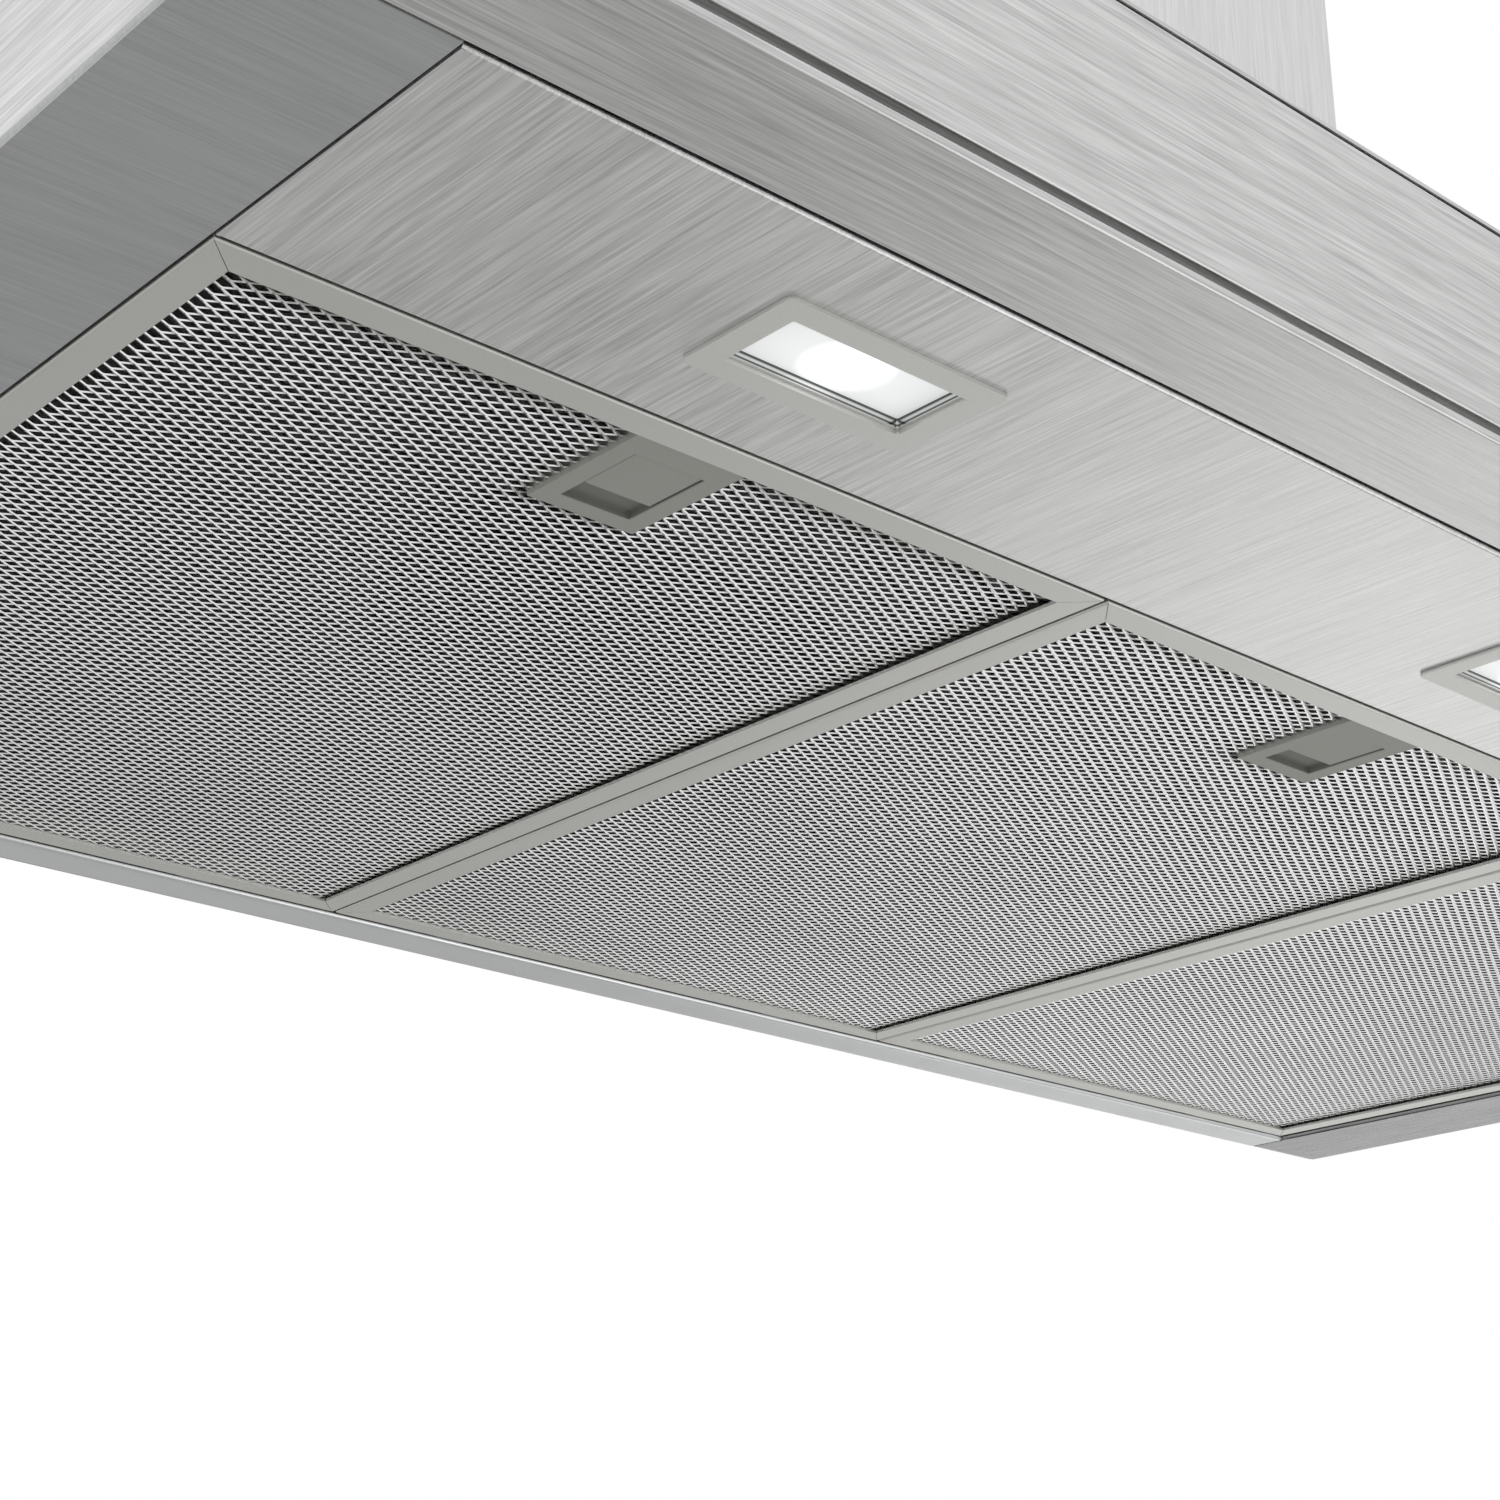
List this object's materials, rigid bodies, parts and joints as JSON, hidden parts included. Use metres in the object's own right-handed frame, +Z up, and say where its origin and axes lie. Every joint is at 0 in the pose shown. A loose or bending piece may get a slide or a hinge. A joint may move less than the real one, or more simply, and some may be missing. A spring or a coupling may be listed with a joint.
{
  "type": "chimney range hood",
  "caption": "Wall-mounted chimney hood with a flat steel underside, hinged mesh grease filters with sliding latches, a lamp strip, push buttons and a telescopic chimney.",
  "frame": {"origin": "centre of the four wall bolts, on the face that lies on the wall", "axes": "+X along the wall, to the right for a person facing it; +Y into the wall; +Z up"},
  "size_m": [0.898, 0.503, 0.636],
  "materials": {
    "brushed_steel": "brushed satin",
    "zinc_sheet": "dull zinc coating",
    "aluminium_frame": "satin, slightly warm",
    "aluminium_mesh": "bright expanded sheet",
    "latch_plastic": "fine matt grey-olive",
    "bezel_plastic": "fine matt warm grey",
    "bright_trim": "polished",
    "frosted_lens": "frosted",
    "lamp_module": "cast, with white diode face",
    "button_metal": "satin",
    "black_plastic": "fine matt",
    "white_plastic": "semi-gloss",
    "motor_steel": "machined and lacquered",
    "rubber": "matt",
    "circuit_board": "green lacquer",
    "spring_steel": "bright wire",
    "screw_steel": "zinc"
  },
  "bodies": {
    "hood": {"canopy_shell": "brushed_steel", "canopy_rim": "brushed_steel", "rear_wall": "brushed_steel", "wall_plates": "zinc_sheet", "front_panel": "brushed_steel", "rear_strip": "brushed_steel", "lamp_panel": "brushed_steel", "lamp_trims": "bright_trim", "lamp_modules": "lamp_module", "button_bezel": "brushed_steel", "switch_block": "black_plastic", "blower_case_left": "zinc_sheet", "blower_case_right": "zinc_sheet", "motor": "motor_steel", "motor_bracket": "zinc_sheet", "motor_bushes": "rubber", "motor_capacitor": "white_plastic", "outlet_collar": "black_plastic", "electronics_box": "black_plastic", "electronics_cover": "black_plastic", "control_board": "circuit_board", "cable_gland": "black_plastic", "lower_chimney": "brushed_steel", "screws": "screw_steel", "lamp_bezel_left": "bezel_plastic", "lamp_lens_left": "frosted_lens", "lamp_bezel_centre": "bezel_plastic", "lamp_lens_centre": "frosted_lens", "lamp_bezel_right": "bezel_plastic", "lamp_lens_right": "frosted_lens"},
    "rotor": {"impeller": "zinc_sheet", "motor_shaft": "spring_steel"},
    "flap_front": {"flap_front": "black_plastic"},
    "flap_rear": {"flap_rear": "black_plastic"},
    "upper_chimney": {"upper_chimney": "brushed_steel", "ceiling_bracket": "zinc_sheet", "chimney_screws": "screw_steel"},
    "button_light": {"button_light": "button_metal"},
    "button_off": {"button_off": "button_metal"},
    "button_low": {"button_low": "button_metal"},
    "button_medium": {"button_medium": "button_metal"},
    "button_high": {"button_high": "button_metal"},
    "filter_left": {"filter_frame_left": "aluminium_frame", "filter_mesh_left": "aluminium_mesh", "filter_core_left": "aluminium_mesh", "latch_housing_left": "latch_plastic", "latch_spring_left": "spring_steel"},
    "latch_left": {"latch_slider_left": "latch_plastic"},
    "filter_centre": {"filter_frame_centre": "aluminium_frame", "filter_mesh_centre": "aluminium_mesh", "filter_core_centre": "aluminium_mesh", "latch_housing_centre": "latch_plastic", "latch_spring_centre": "spring_steel"},
    "latch_centre": {"latch_slider_centre": "latch_plastic"},
    "filter_right": {"filter_frame_right": "aluminium_frame", "filter_mesh_right": "aluminium_mesh", "filter_core_right": "aluminium_mesh", "latch_housing_right": "latch_plastic", "latch_spring_right": "spring_steel"},
    "latch_right": {"latch_slider_right": "latch_plastic"}
  },
  "joints": [
    {"name": "impeller_spin", "type": "hinge", "parent": "hood", "child": "rotor", "pos_m": [0, -0.095, 0.1872], "axis": [1, 0, 0], "continuous": true},
    {"name": "rear_flap_swing", "type": "hinge", "parent": "hood", "child": "flap_rear", "pos_m": [0, -0.12594, 0.3392], "axis": [1, 0, 0], "range_deg": [0, 80]},
    {"name": "front_flap_swing", "type": "hinge", "parent": "hood", "child": "flap_front", "pos_m": [0, -0.13394, 0.3392], "axis": [-1, 0, 0], "range_deg": [0, 80]},
    {"name": "upper_chimney_slide", "type": "slide", "parent": "hood", "child": "upper_chimney", "axis": [0, 0, 1], "range_m": [0, 0.3]},
    {"name": "press_light", "type": "slide", "parent": "hood", "child": "button_light", "axis": [0, 1, 0], "range_m": [0, 0.0025], "stiffness_N_per_m": 600},
    {"name": "press_off", "type": "slide", "parent": "hood", "child": "button_off", "axis": [0, 1, 0], "range_m": [0, 0.0025], "stiffness_N_per_m": 600},
    {"name": "press_low", "type": "slide", "parent": "hood", "child": "button_low", "axis": [0, 1, 0], "range_m": [0, 0.0025], "stiffness_N_per_m": 600},
    {"name": "press_medium", "type": "slide", "parent": "hood", "child": "button_medium", "axis": [0, 1, 0], "range_m": [0, 0.0025], "stiffness_N_per_m": 600},
    {"name": "press_high", "type": "slide", "parent": "hood", "child": "button_high", "axis": [0, 1, 0], "range_m": [0, 0.0025], "stiffness_N_per_m": 600},
    {"name": "filter_left_hinge", "type": "hinge", "parent": "hood", "child": "filter_left", "pos_m": [-0.2696, -0.0161, -0.1582], "axis": [1, 0, 0], "range_deg": [0, 75]},
    {"name": "latch_left_slide", "type": "slide", "parent": "filter_left", "child": "latch_left", "axis": [0, 1, 0], "range_m": [0, 0.0075], "stiffness_N_per_m": 400, "deforming": ["latch_spring_left"]},
    {"name": "filter_centre_hinge", "type": "hinge", "parent": "hood", "child": "filter_centre", "pos_m": [-0.0034, -0.0161, -0.1582], "axis": [1, 0, 0], "range_deg": [0, 75]},
    {"name": "latch_centre_slide", "type": "slide", "parent": "filter_centre", "child": "latch_centre", "axis": [0, 1, 0], "range_m": [0, 0.0075], "stiffness_N_per_m": 400, "deforming": ["latch_spring_centre"]},
    {"name": "filter_right_hinge", "type": "hinge", "parent": "hood", "child": "filter_right", "pos_m": [0.2628, -0.0161, -0.1582], "axis": [1, 0, 0], "range_deg": [0, 75]},
    {"name": "latch_right_slide", "type": "slide", "parent": "filter_right", "child": "latch_right", "axis": [0, 1, 0], "range_m": [0, 0.0075], "stiffness_N_per_m": 400, "deforming": ["latch_spring_right"]}
  ]
}
